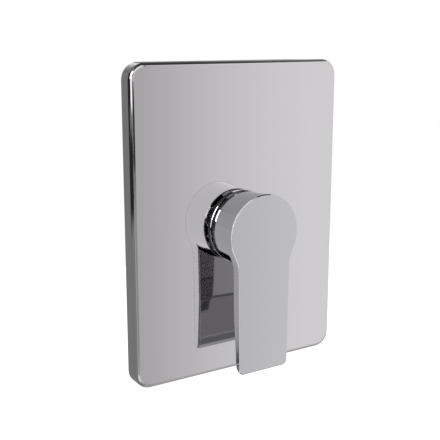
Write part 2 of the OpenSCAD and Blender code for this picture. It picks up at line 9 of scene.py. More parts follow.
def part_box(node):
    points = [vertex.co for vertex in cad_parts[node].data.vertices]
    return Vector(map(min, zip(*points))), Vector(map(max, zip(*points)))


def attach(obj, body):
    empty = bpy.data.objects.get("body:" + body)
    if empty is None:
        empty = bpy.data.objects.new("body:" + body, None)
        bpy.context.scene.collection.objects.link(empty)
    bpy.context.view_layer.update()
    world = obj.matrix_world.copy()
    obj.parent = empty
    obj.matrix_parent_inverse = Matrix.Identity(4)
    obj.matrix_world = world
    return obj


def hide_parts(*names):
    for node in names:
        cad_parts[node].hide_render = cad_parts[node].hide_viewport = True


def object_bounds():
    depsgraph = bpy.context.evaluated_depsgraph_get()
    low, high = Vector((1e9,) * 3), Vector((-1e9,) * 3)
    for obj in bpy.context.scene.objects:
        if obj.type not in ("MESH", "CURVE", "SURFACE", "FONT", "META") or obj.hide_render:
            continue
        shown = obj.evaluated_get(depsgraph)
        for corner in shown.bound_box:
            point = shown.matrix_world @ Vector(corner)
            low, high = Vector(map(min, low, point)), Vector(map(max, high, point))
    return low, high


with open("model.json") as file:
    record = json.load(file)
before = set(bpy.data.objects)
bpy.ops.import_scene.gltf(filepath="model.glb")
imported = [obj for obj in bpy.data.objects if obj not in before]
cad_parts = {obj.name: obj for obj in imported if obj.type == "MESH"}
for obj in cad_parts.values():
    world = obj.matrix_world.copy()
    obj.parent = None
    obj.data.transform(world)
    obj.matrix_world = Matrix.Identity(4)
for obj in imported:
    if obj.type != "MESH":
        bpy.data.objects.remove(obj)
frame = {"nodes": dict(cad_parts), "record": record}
CAD_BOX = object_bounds()
MM = 0.001

# Camera: at the photograph's viewing angle, in metres and degrees, its lens and sensor in mm
CAMERA_AT = (-0.2732, -0.4147, 0.1124)
CAMERA_TURN = 32.607
CAMERA_DIP = 12.555
CAMERA_LENS = 67.25
CAMERA_SENSOR = 36.0
CAMERA_NEAR = 0.01

scene = bpy.context.scene
scene.view_settings.view_transform = "Standard"

camera_data = bpy.data.cameras.new("camera")
camera_data.sensor_fit = "HORIZONTAL"
camera_data.sensor_width = CAMERA_SENSOR
camera_data.lens = CAMERA_LENS
camera_data.clip_start = CAMERA_NEAR
camera = bpy.data.objects.new("camera", camera_data)
camera.location = CAMERA_AT
camera.rotation_euler = (radians(90 - CAMERA_DIP), 0, radians(-CAMERA_TURN))
scene.collection.objects.link(camera)
scene.camera = camera


# Node helpers
class Nodes:
    """A node tree, with short ways to add and join nodes."""

    def __init__(self, tree):
        self.tree = tree
        tree.nodes.clear()

    def add(self, kind, inputs=None, **settings):
        """A new node with these values or links at its inputs."""
        node = self.tree.nodes.new(kind)
        for key, value in settings.items():
            setattr(node, key, value)
        for key, value in (inputs or {}).items():
            self.put(node.inputs[key], value)
        return node

    def put(self, socket, value):
        """Links an input to the value where that is a socket, and else sets it."""
        if isinstance(value, bpy.types.NodeSocket):
            self.tree.links.new(value, socket)
        else:
            socket.default_value = value

    def math(self, operation, a, b=0.0):
        """The result of one operation on one or two numbers."""
        node = self.add("ShaderNodeMath", operation=operation)
        self.put(node.inputs[0], a)
        self.put(node.inputs[1], b)
        return node.outputs[0]

    def smooth(self, value, low, high):
        """0 below low, 1 above high, smooth between them."""
        node = self.add("ShaderNodeMapRange", interpolation_type="SMOOTHSTEP")
        self.put(node.inputs["Value"], value)
        self.put(node.inputs["From Min"], low)
        self.put(node.inputs["From Max"], high)
        return node.outputs["Result"]

    def window(self, value, low, high, soft):
        """1 from low to high and 0 outside them, with ends that are soft towards the inside."""
        return self.math("MULTIPLY", self.smooth(value, low, low + soft),
                         self.math("SUBTRACT", 1.0, self.smooth(value, high - soft, high)))

    def between(self, value, low, high):
        """1 between low and high and 0 outside them."""
        return self.math("MULTIPLY", self.math("GREATER_THAN", value, low),
                         self.math("LESS_THAN", value, high))

    def mix(self, share, a, b):
        """A number that goes from a to b as share goes from 0 to 1."""
        node = self.add("ShaderNodeMix", data_type="FLOAT")
        self.put(node.inputs[0], share)
        self.put(node.inputs[2], a)
        self.put(node.inputs[3], b)
        return node.outputs[0]

    def blend(self, share, a, b):
        """A colour that goes from a to b as share goes from 0 to 1."""
        node = self.add("ShaderNodeMix", data_type="RGBA")
        self.put(node.inputs[0], share)
        self.put(node.inputs[6], (*a, 1) if isinstance(a, tuple) else a)
        self.put(node.inputs[7], (*b, 1) if isinstance(b, tuple) else b)
        return node.outputs[2]

    def bump(self, height, distance, strength=1.0, normal=None):
        """The way out of a surface with this height on it."""
        node = self.add("ShaderNodeBump", {"Height": height, "Distance": distance,
                                           "Strength": strength})
        if normal is not None:
            self.put(node.inputs["Normal"], normal)
        return node.outputs["Normal"]


# Studio: the world that metal mirrors, in degrees from the front and above the horizon. It has
# this brightness where no panel is.
WORLD_BASE = 0.27
# Each panel is (left, right, low, high, softness, brightness), and later ones lie on top. Where
# brightness is a pair, the second one is what metal shows that mirrors the panel in other metal.
PANELS = [
    # Left and below, for the plate's left edge and the lever's left sides
    (-152, -93, -14.5, 90, 3, 0.03),
    (-97, 20, -90, -9, 2, 0.30),
    (-12, 28, -90, -9.5, 3, 0.42),
    (-97, -22, -13.5, -5.4, 2, 0.03),
    (-97, -62, -5.4, 48, 1.0, 0.03),
    (-62, -22, -5.4, 16, 1.0, (1.62, 1.4)),
    (-62, -22, 15, 48, 2.0, 0.35),
    (-22, 28, -9.5, 42, 1.0, 0.05),
    (-14, 28, -4.5, 60, 3, (0.8, 0.05)),
    (-31.5, -25, -26, -11, 0.5, 1.05),
    (-33, -14, -52, -25.5, 0.5, 1.3),
    # Right, for the plate's face and top edge and the lever's right edges
    (28, 143, -26, 5, 1.5, 1.0),
    (36, 143, 3, 34, 1.5, 1.0),
    (138, 156, -26, 34, 14, 0.45),
    (30, 120, -50, -22, 4, 0.64),
    (15, 120, -90, -43, 4, 0.6),
    (36, 60, 18, 34, 2, 1.25),
    (28, 60, 33, 60, 1.0, (0.05, 0.27)),
    # Behind the object, for the brass and the plate's inside
    (157, 179.9, 4, 52, 5, 1.1),
    (160, 179.9, -40, -16, 6, 0.7),
]
# Round panels before the object: (near, far, from, to, softness, brightness, mirrors), where near
# and far are the angle off the straight front, from and to go round it from the right side upward,
# and mirrors is 2 for what only metal shows that mirrors the panel in other metal.
RINGS = [
    (27.0, 30.4, -179.9, -163, 0.5, 1.35, 1),
    (28.8, 32.5, -163, -153, 0.5, 1.35, 1),
    (25.0, 33.8, -121, -58, 0.7, 0.95, 1),
    (33.1, 38.5, -121, -60, 0.7, 1.1, 1),
    (25.0, 33.8, -166, -121, 0.7, 0.95, 2),
    (25.4, 29.4, -179.9, -166, 0.7, 0.95, 2),
    (25.4, 29.4, 130, 179.9, 0.7, 1.4, 1),
    (25.4, 34.4, 58, 130, 0.7, 1.4, 1),
    (25.4, 29.4, 130, 179.9, 0.7, 0.88, 2),
    (25.4, 34.4, 10, 130, 0.7, 0.80, 2),
    (33.1, 38.5, -166, -121, 0.7, 1.1, 2),
    (37.8, 46.5, -166, -60, 0.7, 1.47, 2),
    (39.0, 43.5, -179.9, -166, 0.7, 1.47, 2),
    (39.0, 43.5, 130, 179.9, 0.7, 1.47, 2),
    (33.8, 43.5, 58, 130, 0.7, 1.4, 1),
    (33.8, 43.5, 20, 130, 0.7, 1.47, 2),
    (35.6, 43.5, 8, 20, 0.7, 1.47, 2),
    (33.8, 35.9, 2, 24, 0.5, 0.85, 2),
    # Dark ones, which the sleeve shows by way of the plate
    (32.6, 36.9, 48, 130, 0.5, 0.06, 2),
    (31.5, 38.4, 130, 179.9, 0.5, 0.05, 2),
    (31.5, 38.4, -179.9, -166, 0.5, 0.05, 2),
    (32.8, 37.6, -166, -121, 0.5, 0.08, 2),
    (33.4, 37.2, -121, -90, 0.5, 0.08, 2),
]
# What the arm's back mirrors in the plate: its crease, the part below it, and that part again
ARM_RINGS = [
    (34.0, 44.0, -36.4, -31.6, 0.7, 0.25, 2),
    (34.0, 46.0, -46.5, -36.4, 0.7, 0.6, 2),
    (40.0, 54.0, -59.0, -46.5, 0.7, 1.4, 2),
]
# Dark ceiling: (rise where it starts, rise where it is full, brightness)
OVERHEAD = (45, 60, 0.06)
# The panel that the plate's face mirrors is darker towards its left: (turn, brightness)
FACE_RAMP = [(18.0, 0.42), (24.0, 0.55), (27.7, 0.66), (31.2, 0.81), (34.7, 0.93), (38.8, 1.03),
             (44.0, 1.03)]
# It reaches from RAMP_LOW to RAMP_TOP right of RAMP_TALL_FROM, where the plate's top edge mirrors
# it, and to RAMP_TOP_TWICE left of that and in metal that is mirrored in other metal.
RAMP_LOW = -26.0
RAMP_TOP = 33.0
RAMP_TOP_TWICE = 5.0
RAMP_TALL_FROM = 27.0
# Ray Depth is above this for what metal mirrors in other metal
TWICE_DEPTH = 2.5
# Light that the world gives to matt surfaces, and light that the floor gives to the camera alone
WORLD_FILL = 0.62
FLOOR_GLOW = 0.6


def build_world():
    """A world whose light depends on the direction, and on what has been mirrored in what."""
    world = bpy.data.worlds.new("studio")
    scene.world = world
    world.use_nodes = True
    n = Nodes(world.node_tree)
    direction = n.add("ShaderNodeTexCoord").outputs["Generated"]
    split = n.add("ShaderNodeSeparateXYZ", {"Vector": direction})
    x, y, z = split.outputs
    turn = n.math("DEGREES", n.math("ARCTAN2", x, n.math("MULTIPLY", y, -1.0)))
    rise = n.math("DEGREES", n.math("ARCSINE", z))
    path = n.add("ShaderNodeLightPath")
    twice = n.math("GREATER_THAN", path.outputs["Ray Depth"], TWICE_DEPTH)
    light = WORLD_BASE
    for left, right, low, high, soft, value in PANELS:
        panel = n.math("MULTIPLY", n.window(turn, left, right, soft),
                       n.window(rise, low, high, soft))
        if isinstance(value, tuple):
            value = n.mix(twice, *value)
        light = n.mix(panel, light, value)
    off = n.math("DEGREES", n.math("ARCCOSINE", n.math("MULTIPLY", y, -1.0)))
    round_it = n.math("DEGREES", n.math("ARCTAN2", z, x))

    def add_rings(light, rings):
        """Lays the round panels over the light."""
        for near, far, start, end, soft, value, mirrors in rings:
            inside = n.between(round_it, start, end)
            if mirrors > 1:
                inside = n.math("MULTIPLY", inside, twice)
            ring = n.math("MULTIPLY", n.window(off, near, far, soft), inside)
            light = n.mix(ring, light, value)
        return light

    light = add_rings(light, RINGS)
    for (a, low), (b, high) in zip(FACE_RAMP, FACE_RAMP[1:]):
        top = n.mix(twice, RAMP_TOP, RAMP_TOP_TWICE) if a > RAMP_TALL_FROM else RAMP_TOP_TWICE
        inside = n.math("MULTIPLY", n.between(turn, a, b), n.between(rise, RAMP_LOW, top))
        ramp = n.add("ShaderNodeMapRange", {"Value": turn, "From Min": a, "From Max": b,
                                            "To Min": low, "To Max": high})
        light = n.mix(inside, light, ramp.outputs["Result"])
    light = add_rings(light, ARM_RINGS)
    start, full, value = OVERHEAD
    light = n.mix(n.smooth(rise, start, full), light, value)
    light = n.mix(path.outputs["Is Diffuse Ray"], light, WORLD_FILL)
    # The camera sees a white background
    light = n.mix(path.outputs["Is Camera Ray"], light, 1.0)
    background = n.add("ShaderNodeBackground", {"Color": (1, 1, 1, 1), "Strength": light})
    out = n.add("ShaderNodeOutputWorld")
    n.put(out.inputs["Surface"], background.outputs[0])


def area_lamp(name, turn, rise, distance, size, power):
    """A square soft lamp that looks at the object, placed by its direction from the object."""
    data = bpy.data.lights.new(name, "AREA")
    data.shape = "SQUARE"
    data.size = size
    data.energy = power
    lamp = bpy.data.objects.new(name, data)
    away = Vector((sin(radians(turn)) * cos(radians(rise)),
                   -cos(radians(turn)) * cos(radians(rise)), sin(radians(rise))))
    lamp.location = away * distance
    lamp.rotation_euler = away.to_track_quat("Z", "Y").to_euler()
    scene.collection.objects.link(lamp)


def build_floor(depth=0.42, reach=1.6):
    """A pale floor that lies depth metres below the object and reaches that far each way."""
    mesh = bpy.data.meshes.new("floor")
    corners = [(-reach, -reach, 0), (reach, -reach, 0), (reach, reach, 0), (-reach, reach, 0)]
    mesh.from_pydata(corners, [], [(0, 1, 2, 3)])
    floor = bpy.data.objects.new("floor", mesh)
    floor.location = (0, 0, CAD_BOX[0][2] - depth)
    scene.collection.objects.link(floor)
    # Metal mirrors the studio and not the floor
    floor.visible_glossy = False
    material = bpy.data.materials.new("pale_floor")
    material.use_nodes = True
    n = Nodes(material.node_tree)
    path = n.add("ShaderNodeLightPath")
    shade = n.add("ShaderNodeBsdfPrincipled", {"Base Color": (0.9, 0.9, 0.9, 1), "Roughness": 0.8,
                                               "Emission Color": (1, 1, 1, 1)})
    n.put(shade.inputs["Emission Strength"],
          n.math("MULTIPLY", path.outputs["Is Camera Ray"], FLOOR_GLOW))
    out = n.add("ShaderNodeOutputMaterial")
    n.put(out.inputs["Surface"], shade.outputs[0])
    mesh.materials.append(material)


build_world()
area_lamp("key", turn=-62, rise=28, distance=1.6, size=0.9, power=11)
build_floor()


# Materials
def new_material(name):
    """(material, its nodes, its shader, the place on the object in metres)."""
    material = bpy.data.materials.new(name)
    material.use_nodes = True
    n = Nodes(material.node_tree)
    out = n.add("ShaderNodeOutputMaterial")
    shade = n.add("ShaderNodeBsdfPrincipled")
    n.put(out.inputs["Surface"], shade.outputs[0])
    place = n.add("ShaderNodeTexCoord").outputs["Object"]
    return material, n, shade, place


def noise(n, place, scale, detail=3.0, roughness=0.5):
    """Soft noise from 0 to 1."""
    node = n.add("ShaderNodeTexNoise", {"Vector": place, "Scale": scale, "Detail": detail,
                                        "Roughness": roughness})
    return node.outputs["Fac"]


def spots(n, place, scale):
    """Distance to scattered cells, for pores and grains."""
    return n.add("ShaderNodeTexVoronoi", {"Vector": place, "Scale": scale}).outputs["Distance"]


def turned_rings(n, place, scale, wobble=0.0):
    """Fine rings round the Y axis, as a lathe leaves them."""
    return n.add("ShaderNodeTexWave", {"Vector": place, "Scale": scale, "Distortion": wobble},
                 wave_type="RINGS", rings_direction="Y").outputs["Fac"]


# The plate's inside is satin from this far behind its face and this far in from its sides
SATIN_BEHIND = 0.9 * MM
SATIN_IN = 1.2 * MM


def chrome(name, tint, rough, satin_inside=False):
    """Polished chrome with faint smears. The hidden inside of a pressed piece can be left satin."""
    material, n, shade, place = new_material(name)
    shade.inputs["Metallic"].default_value = 1.0
    shade.inputs["Base Color"].default_value = (*tint, 1)
    smudge = n.smooth(noise(n, place, 22, 4), 0.35, 0.7)
    polish = n.mix(smudge, rough, rough * 1.6)
    if satin_inside:
        x, y, z = n.add("ShaderNodeSeparateXYZ", {"Vector": place}).outputs
        low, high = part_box("cover_plate")
        inside = n.math("GREATER_THAN", y, low.y + SATIN_BEHIND)
        inside = n.math("MULTIPLY", inside, n.between(x, low.x + SATIN_IN, high.x - SATIN_IN))
        inside = n.math("MULTIPLY", inside, n.between(z, low.z + SATIN_IN, high.z - SATIN_IN))
        # Grain that is drawn out up and down
        drawn = n.add("ShaderNodeMapping", {"Vector": place, "Scale": (1, 1, 0.04)}).outputs[0]
        grain = noise(n, drawn, 2600, 2)
        polish = n.mix(inside, polish, n.mix(grain, 0.28, 0.46))
        n.put(shade.inputs["Normal"], n.bump(n.math("MULTIPLY", grain, inside), 0.02 * MM, 0.6))
    n.put(shade.inputs["Roughness"], polish)
    return material


def cast_brass(name):
    """Sand-cast brass: a fine rough grain with pits, stains and rounded edges."""
    material, n, shade, place = new_material(name)
    shade.inputs["Metallic"].default_value = 1.0
    stain = n.smooth(noise(n, place, 45, 5, 0.6), 0.3, 0.72)
    grain = noise(n, place, 1500, 3, 0.7)
    n.put(shade.inputs["Base Color"], n.blend(stain, (0.50, 0.34, 0.15), (0.74, 0.54, 0.27)))
    n.put(shade.inputs["Roughness"], n.mix(grain, 0.38, 0.62))
    soft = n.add("ShaderNodeBevel", {"Radius": 0.9 * MM}, samples=6).outputs[0]
    pits = n.smooth(spots(n, place, 700), 0.0, 0.5)
    height = n.math("ADD", n.math("MULTIPLY", grain, 0.7), n.math("MULTIPLY", pits, 0.3))
    n.put(shade.inputs["Normal"], n.bump(height, 0.10 * MM, 0.8, soft))
    return material


def cut_metal(name, dark, light, rough, rings=900, edge=0.25):
    """Metal cut on a lathe: fine rings, a little stain and broken edges."""
    material, n, shade, place = new_material(name)
    shade.inputs["Metallic"].default_value = 1.0
    stain = n.smooth(noise(n, place, 60, 4), 0.3, 0.7)
    marks = turned_rings(n, place, rings, 0.4)
    n.put(shade.inputs["Base Color"], n.blend(stain, dark, light))
    n.put(shade.inputs["Roughness"], n.mix(n.math("MULTIPLY", marks, noise(n, place, 220)),
                                           rough * 0.8, rough * 1.5))
    soft = n.add("ShaderNodeBevel", {"Radius": edge * MM}, samples=4).outputs[0]
    n.put(shade.inputs["Normal"], n.bump(marks, 0.01 * MM, 0.5, soft))
    return material


def moulded(name, dark, light, rough, grain_height=0.02, glow=0.0, edge=0.3):
    """Moulded plastic: an even fine grain, a slight flow pattern in its colour, soft edges."""
    material, n, shade, place = new_material(name)
    flow = n.smooth(noise(n, place, 70, 4, 0.55), 0.25, 0.75)
    grain = noise(n, place, 2600, 2)
    n.put(shade.inputs["Base Color"], n.blend(flow, dark, light))
    n.put(shade.inputs["Roughness"], n.mix(grain, rough * 0.85, rough * 1.15))
    if glow:
        shade.inputs["Subsurface Weight"].default_value = glow
        shade.inputs["Subsurface Scale"].default_value = MM
    soft = n.add("ShaderNodeBevel", {"Radius": edge * MM}, samples=4).outputs[0]
    n.put(shade.inputs["Normal"], n.bump(grain, grain_height * MM, 0.6, soft))
    return material


def foam(name):
    """Dark foam with open cells."""
    material, n, shade, place = new_material(name)
    cells = n.smooth(spots(n, place, 1100), 0.05, 0.6)
    shift = noise(n, place, 90, 3)
    n.put(shade.inputs["Base Color"], n.blend(n.math("MULTIPLY", cells, shift), (0.02, 0.02, 0.022),
                                              (0.10, 0.10, 0.105)))
    n.put(shade.inputs["Roughness"], n.mix(cells, 0.95, 0.8))
    n.put(shade.inputs["Normal"], n.bump(cells, 0.25 * MM, 0.9))
    return material


def index_plug(name):
    """Two colours that meet on the middle line: warm on the left, cold on the right."""
    material, n, shade, place = new_material(name)
    x = n.add("ShaderNodeSeparateXYZ", {"Vector": place}).outputs["X"]
    seam = 0.05 * MM
    side = n.smooth(x, -seam, seam)
    flow = noise(n, place, 400, 3)
    warm = n.blend(flow, (0.42, 0.02, 0.015), (0.56, 0.05, 0.03))
    cold = n.blend(flow, (0.015, 0.06, 0.38), (0.04, 0.11, 0.52))
    n.put(shade.inputs["Base Color"], n.blend(side, warm, cold))
    n.put(shade.inputs["Roughness"], n.mix(flow, 0.25, 0.4))
    n.put(shade.inputs["Normal"], n.bump(noise(n, place, 2500), 0.01 * MM, 0.5))
    return material


finishes = {
    "polished_chrome": chrome("polished_chrome", (0.60, 0.585, 0.60), 0.03, satin_inside=True),
    "sleeve_chrome": chrome("sleeve_chrome", (0.58, 0.58, 0.60), 0.05),
    "body_brass": cast_brass("body_brass"),
    "nut_brass": cut_metal("nut_brass", (0.64, 0.46, 0.21), (0.78, 0.60, 0.32), 0.22),
    "gasket_foam": foam("gasket_foam"),
    "seal_rubber": moulded("seal_rubber", (0.012, 0.012, 0.013), (0.03, 0.03, 0.031), 0.55,
                           grain_height=0.03),
    "white_nylon": moulded("white_nylon", (0.72, 0.72, 0.69), (0.82, 0.82, 0.80), 0.42, glow=0.15),
    "blue_acetal": moulded("blue_acetal", (0.05, 0.11, 0.28), (0.09, 0.18, 0.40), 0.35),
    "red_acetal": moulded("red_acetal", (0.36, 0.02, 0.015), (0.50, 0.04, 0.03), 0.35),
    "ceramic": moulded("ceramic", (0.82, 0.80, 0.75), (0.92, 0.90, 0.87), 0.12,
                       grain_height=0.002, edge=0.15),
    "steel": cut_metal("steel", (0.48, 0.49, 0.51), (0.60, 0.61, 0.63), 0.24, rings=1300),
    "screw_steel": cut_metal("screw_steel", (0.08, 0.08, 0.085), (0.16, 0.16, 0.17), 0.4,
                             rings=700, edge=0.15),
    "index_plastic": index_plug("index_plastic"),
}
cut_brass = cut_metal("machined_brass", (0.66, 0.48, 0.22), (0.80, 0.62, 0.33), 0.20,
                      rings=700)
lever_chrome = chrome("lever_chrome", (0.508, 0.508, 0.523), 0.04)
# The lever's back, rim and inside get a lighter copy of its chrome: painted light that brightens
# what they mirror
lever_back = chrome("lever_back_chrome_painted_lighter", (0.54, 0.54, 0.555), 0.04)

for entry in frame["record"]["subparts"]:
    node = frame["nodes"][entry["node"]]
    node.data.materials.clear()
    node.data.materials.append(finishes[entry["material_slot"]])


# Meshes
class Skin:
    """A mesh made of strips and flat faces in mm, with the true way out at each corner."""

    def __init__(self):
        self.found = {}
        self.points = []
        self.faces = []
        self.ways = []
        self.marks = []

    def point(self, place):
        """The number of the corner at this place, which is made if it is new."""
        key = tuple(round(c, 4) for c in place)
        if key not in self.found:
            self.found[key] = len(self.points)
            self.points.append(tuple(place))
        return self.found[key]

    def face(self, corners, mark=0):
        """corners are (place, way out) pairs. Corners that fall together are left out."""
        kept = []
        for place, way in corners:
            index = self.point(place)
            if not kept or (index != kept[-1][0] and index != kept[0][0]):
                kept.append((index, Vector(way).normalized()))
        if len(kept) < 3:
            return
        places = [Vector(self.points[i]) for i, _ in kept]
        flat = Vector()
        for a, b in zip(places, places[1:] + places[:1]):
            flat += a.cross(b)
        if flat.dot(sum((way for _, way in kept), Vector())) < 0:
            kept.reverse()
        self.faces.append([i for i, _ in kept])
        self.ways += [way for _, way in kept]
        self.marks.append(mark)

    def strip(self, first, second, closed=True, mark=0):
        """Faces between two rows of corners."""
        count = len(first)
        for i in range(count if closed else count - 1):
            j = (i + 1) % count
            self.face([first[i], first[j], second[j], second[i]], mark)

    def stack(self, rings, closed=True, mark=0):
        """Strips between each row of corners and the next."""
        for first, second in zip(rings, rings[1:]):
            self.strip(first, second, closed, mark)

    def flat(self, loops, way, mark=0):
        """A flat face with the first loop round it and the others as holes in it."""
        places = [Vector(p) for loop in loops for p in loop]
        for corners in tessellate_polygon([[Vector(p) for p in loop] for loop in loops]):
            self.face([(places[i], way) for i in corners], mark)

    def take(self, source, keep, mark=0):
        """Takes in the faces of a CAD node's mesh for which keep(middle in mm) is true."""
        for polygon in source.polygons:
            if not keep(polygon.center / MM):
                continue
            corners = [(source.vertices[source.loops[i].vertex_index].co / MM,
                        source.corner_normals[i].vector) for i in polygon.loop_indices]
            self.face(corners, mark)

    def build(self, name, body, materials, nodes=()):
        """Makes the piece, on its body and in place of the CAD nodes that it replaces."""
        mesh = bpy.data.meshes.new(name)
        mesh.from_pydata([Vector(p) * MM for p in self.points], [], self.faces)
        for material in materials:
            mesh.materials.append(material)
        mesh.polygons.foreach_set("material_index", self.marks)
        mesh.polygons.foreach_set("use_smooth", [True] * len(self.faces))
        mesh.normals_split_custom_set(self.ways)
        piece = bpy.data.objects.new(name, mesh)
        scene.collection.objects.link(piece)
        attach(piece, body)
        if nodes:
            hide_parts(*nodes)
        return piece


def ring_steps(first, last, count):
    """count + 1 even steps from first to last."""
    return [first + (last - first) * i / count for i in range(count + 1)]


# Faces of a CAD node are picked by their middles, with this much room in mm
PICK = 0.2
PICK_CLOSE = 0.05
ON_PLANE = 0.02

# Steps of the meshes round the head, the neck, the tip, a rounded edge and the plug
HEAD_STEPS = 56
NECK_STEPS = 26
TIP_STEPS = 10
EDGE_STEPS = 4
FILLET_STEPS = 5
WALL_ROWS = 4
PLUG_STEPS = 48
# Steps that the CAD node's own circles have, where a new face meets one
HEAD_IN_STEPS = 96
COVER_HOLE_STEPS = 40

# Lever: sizes in mm, read from the frame where the frame shows them
lever_low, lever_high = (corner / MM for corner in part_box("lever_handle"))
HEAD_R = lever_high.z
FRONT_Y = lever_low.y
RIM_Y = lever_high.y
ARM_LEN = -lever_low.z
ARM_ROOT_W = 37.0
ARM_TIP_W = 34.4
NECK_R = 20.0
TIP_R = 3.0
# Depths of the arm's back at its root and tip, how far down it stays thick, and half the length
# over which the crease there is softened
ARM_BACK_Y = FRONT_Y + 7.0
TIP_BACK_Y = FRONT_Y + 4.5
THICK_LEN = 49.5
CREASE = 1.4
# Heights of the mesh's rows on the arm, above and below the crease
ROWS_ABOVE = [-25.5, -28, -31, -34, -37, -40, -42.5, -45.5]
ROWS_BELOW = [-53, -56, -59, -63, -67, -71, -75, -78]
# Bevel at the tip of the back: its length, its slope, and how softly it starts
TIP_BEVEL = 3.4
TIP_BEVEL_TURN = radians(50)
TIP_SOFT = 0.6
# Bevel of the front edge: its width, the share of it that is straight, its slope, and the radius
# of its two corners
EDGE_BEVEL = 0.6
EDGE_STRAIGHT = 0.8
EDGE_TURN = radians(31)
EDGE_SOFT = 0.12
BACK_FILLET = 1.0
TIP_FILLET = 0.35
RIM_FILLET = 0.3
# A corner with this share or less has no rounded back edge
LEAST_SHARE = 0.001
# Slope of the walls, and the depth where they have the outline's own size
DRAFT = radians(-4.2)
DRAFT_FROM_Y = -33.0
# Inside of the head, and the hole for the plug in its lower wall
HEAD_IN = 21.7
COVER_HOLE_R = 3.2
COVER_Y = -24.5
COVER_PATCH = 5.0
# A corner this near to the middle line lies on it
ON_AXIS = 1e-6


def taken_in(y):
    """How far the outline is taken in at this depth, by the draft that lets it leave its mould."""
    return (DRAFT_FROM_Y - y) * tan(DRAFT)


def arm_back(z):
    """(depth of the arm's back at this height, its slope)."""
    slope = (ARM_BACK_Y - TIP_BACK_Y) / (ARM_LEN - THICK_LEN)
    below = -THICK_LEN - z
    if below < -CREASE:
        return ARM_BACK_Y, 0.0
    if below < CREASE:
        part = (below + CREASE) / (2 * CREASE)
        return ARM_BACK_Y - slope * CREASE * part * part, slope * part
    # Bevel at the tip, which starts softly
    steep = tan(TIP_BEVEL_TURN)
    line = ARM_BACK_Y - slope * below
    past = -ARM_LEN + TIP_BEVEL - z
    if past < -TIP_SOFT:
        return line, slope
    if past < TIP_SOFT:
        part = (past + TIP_SOFT) / (2 * TIP_SOFT)
        return line - (steep - slope) * TIP_SOFT * part * part, slope + (steep - slope) * part
    return line - (steep - slope) * past, steep


def lever_half():
    """Right half of the outline from the head's top to the tip: [(place, way out, share)],
    where share is 0 on the head and else how much of the back's edge rounding there is."""
    lean = atan((ARM_ROOT_W - ARM_TIP_W) / 2 / ARM_LEN)
    out = Vector((cos(lean), -sin(lean)))
    along = Vector((-sin(lean), -cos(lean)))
    side = ARM_ROOT_W / 2 * cos(lean)
    down = sqrt((HEAD_R + NECK_R) ** 2 - (side + NECK_R) ** 2)
    middle = (side + NECK_R) * out + down * along
    side_top = (side * out + down * along).y
    start = asin(-middle.y / (HEAD_R + NECK_R))
    head, arm = [], []
    for turn in ring_steps(pi / 2, -start, HEAD_STEPS):
        way = Vector((cos(turn), sin(turn)))
        head.append((way * HEAD_R, way, 0.0))
    heights = [-HEAD_R * sin(turn) for turn in ring_steps(start, pi / 2, NECK_STEPS)[1:]]
    heights += ROWS_ABOVE
    heights += [-THICK_LEN + CREASE * part for part in ring_steps(1, -1, 8)]
    heights += ROWS_BELOW
    heights += [-ARM_LEN + TIP_BEVEL - TIP_SOFT * part for part in (-1, -0.5, 0, 0.5)]
    for z in heights:
        if z > side_top:
            x = middle.x - sqrt(NECK_R ** 2 - (z - middle.y) ** 2)
            way = (middle - Vector((x, z))) / NECK_R
            part = (z - head[-1][0].y) / (side_top - head[-1][0].y)
            arm.append((Vector((x, z)), way, max(part * part * (3 - 2 * part), LEAST_SHARE)))
        else:
            arm.append((Vector(((side + z * sin(lean)) / cos(lean), z)), out, 1.0))
    tip = Vector(((side - TIP_R + (-ARM_LEN + TIP_R) * sin(lean)) / cos(lean), -ARM_LEN + TIP_R))
    for turn in ring_steps(-lean, -pi / 2, TIP_STEPS)[1:]:
        way = Vector((cos(turn), sin(turn)))
        part = (turn + lean) / (lean - pi / 2)
        arm.append((tip + way * TIP_R, way, 1.0 + (TIP_FILLET / BACK_FILLET - 1.0) * part))
    return head, arm


def mirrored(corners):
    """The left side's corners, from the last one back, for the right side's."""
    return [(Vector((-p.x, p.y)), Vector((-w.x, w.y)), s) for p, w, s in reversed(corners)]


def both_sides(half):
    """A whole loop from a right half that starts and ends on the middle line or off it."""
    left = mirrored(half)
    if abs(half[0][0].x) < ON_AXIS:
        left = left[:-1]
    if abs(half[-1][0].x) < ON_AXIS:
        left = left[1:]
    return half + left


def edge_profile():
    """The front edge from the face to the side wall: [(taken in, depth, turn of the way out)]."""
    places = []
    inset = EDGE_BEVEL
    y = FRONT_Y
    for start, end in ((pi / 2, pi / 2 - EDGE_TURN), (pi / 2 - EDGE_TURN, DRAFT)):
        for turn in ring_steps(start, end, EDGE_STEPS):
            if places:
                middle = (turn + places[-1][2]) / 2
                step = EDGE_SOFT * abs(turn - places[-1][2])
                inset -= step * sin(middle)
                y += step * cos(middle)
            places.append((inset, y, turn))
        if end != DRAFT:
            run = EDGE_BEVEL * EDGE_STRAIGHT
            inset -= run
            y += run * tan(EDGE_TURN)
            places.append((inset, y, end))
    return [(inset - places[-1][0], y, turn) for inset, y, turn in places]


def at(place, way, inset, y, tilt=0.0):
    """A corner on the outline, taken in by inset at depth y. Its way out is tilted to the front
    by the angle tilt."""
    spot = place - way * inset
    return (spot.x, y, spot.y), (way.x * cos(tilt), -sin(tilt), way.y * cos(tilt))


def head_radius(y):
    """Radius of the head's outside at this depth."""
    return HEAD_R - taken_in(y)


def add_front(skin, outline):
    """The lever's front face and its rounded edge."""
    rings = []
    for inset, y, turn in edge_profile():
        rings.append([at(p, w, taken_in(FRONT_Y) + inset, y, turn) for p, w, _ in outline])
    skin.stack(rings)
    skin.flat([[place for place, _ in rings[0]]], (0, -1, 0))


def add_head_wall(skin, top, levels):
    """The head's side wall, apart from where the arm leaves it."""
    for y, later in zip(levels, levels[1:]):
        skin.strip([at(p, w, taken_in(y), y, DRAFT) for p, w, _ in top],
                   [at(p, w, taken_in(later), later, DRAFT) for p, w, _ in top], closed=False)


